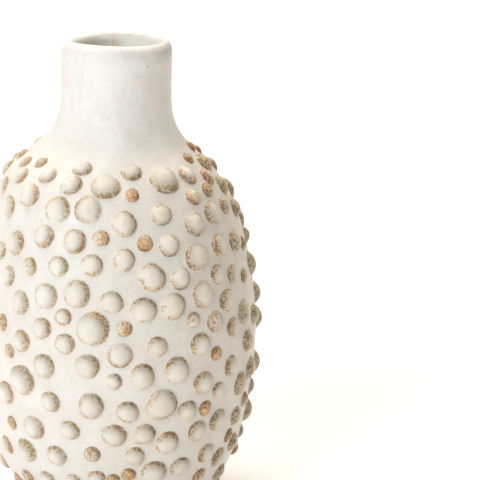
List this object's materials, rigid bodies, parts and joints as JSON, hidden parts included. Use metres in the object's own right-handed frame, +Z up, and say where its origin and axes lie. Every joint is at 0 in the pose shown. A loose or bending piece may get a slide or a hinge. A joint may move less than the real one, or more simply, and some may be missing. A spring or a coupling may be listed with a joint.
{
  "type": "stoneware pottery vase",
  "caption": "Ovoid glazed stoneware vase with a straight cylindrical neck, rolled lip and a body studded with hand-applied clay beads.",
  "frame": {"origin": "centre of the foot ring's standing plane, on the turning axis", "axes": "+Z up the turning axis towards the mouth; the side seen in the picture faces -Y, and +X is its right"},
  "size_m": [0.1715, 0.1705, 0.276],
  "materials": {
    "glaze": "satin",
    "bead_glaze": "satin",
    "raw_clay": "matte"
  },
  "bodies": {
    "root": {"foot_ring": "raw_clay", "base_slab": "raw_clay", "heel_wall": "glaze", "lower_wall": "glaze", "belly_wall": "glaze", "upper_wall": "glaze", "shoulder_wall": "glaze", "neck_collar": "glaze", "bead_course_01": "bead_glaze", "bead_course_02": "bead_glaze", "bead_course_03": "bead_glaze", "bead_course_04": "bead_glaze", "bead_course_05": "bead_glaze", "bead_course_06": "bead_glaze", "bead_course_07": "bead_glaze", "bead_course_08": "bead_glaze", "bead_course_09": "bead_glaze", "bead_course_10": "bead_glaze", "bead_course_11": "bead_glaze", "bead_course_12": "bead_glaze", "bead_course_13": "bead_glaze", "bead_course_14": "bead_glaze", "bead_course_15": "bead_glaze", "bead_course_16": "bead_glaze"}
  },
  "joints": []
}
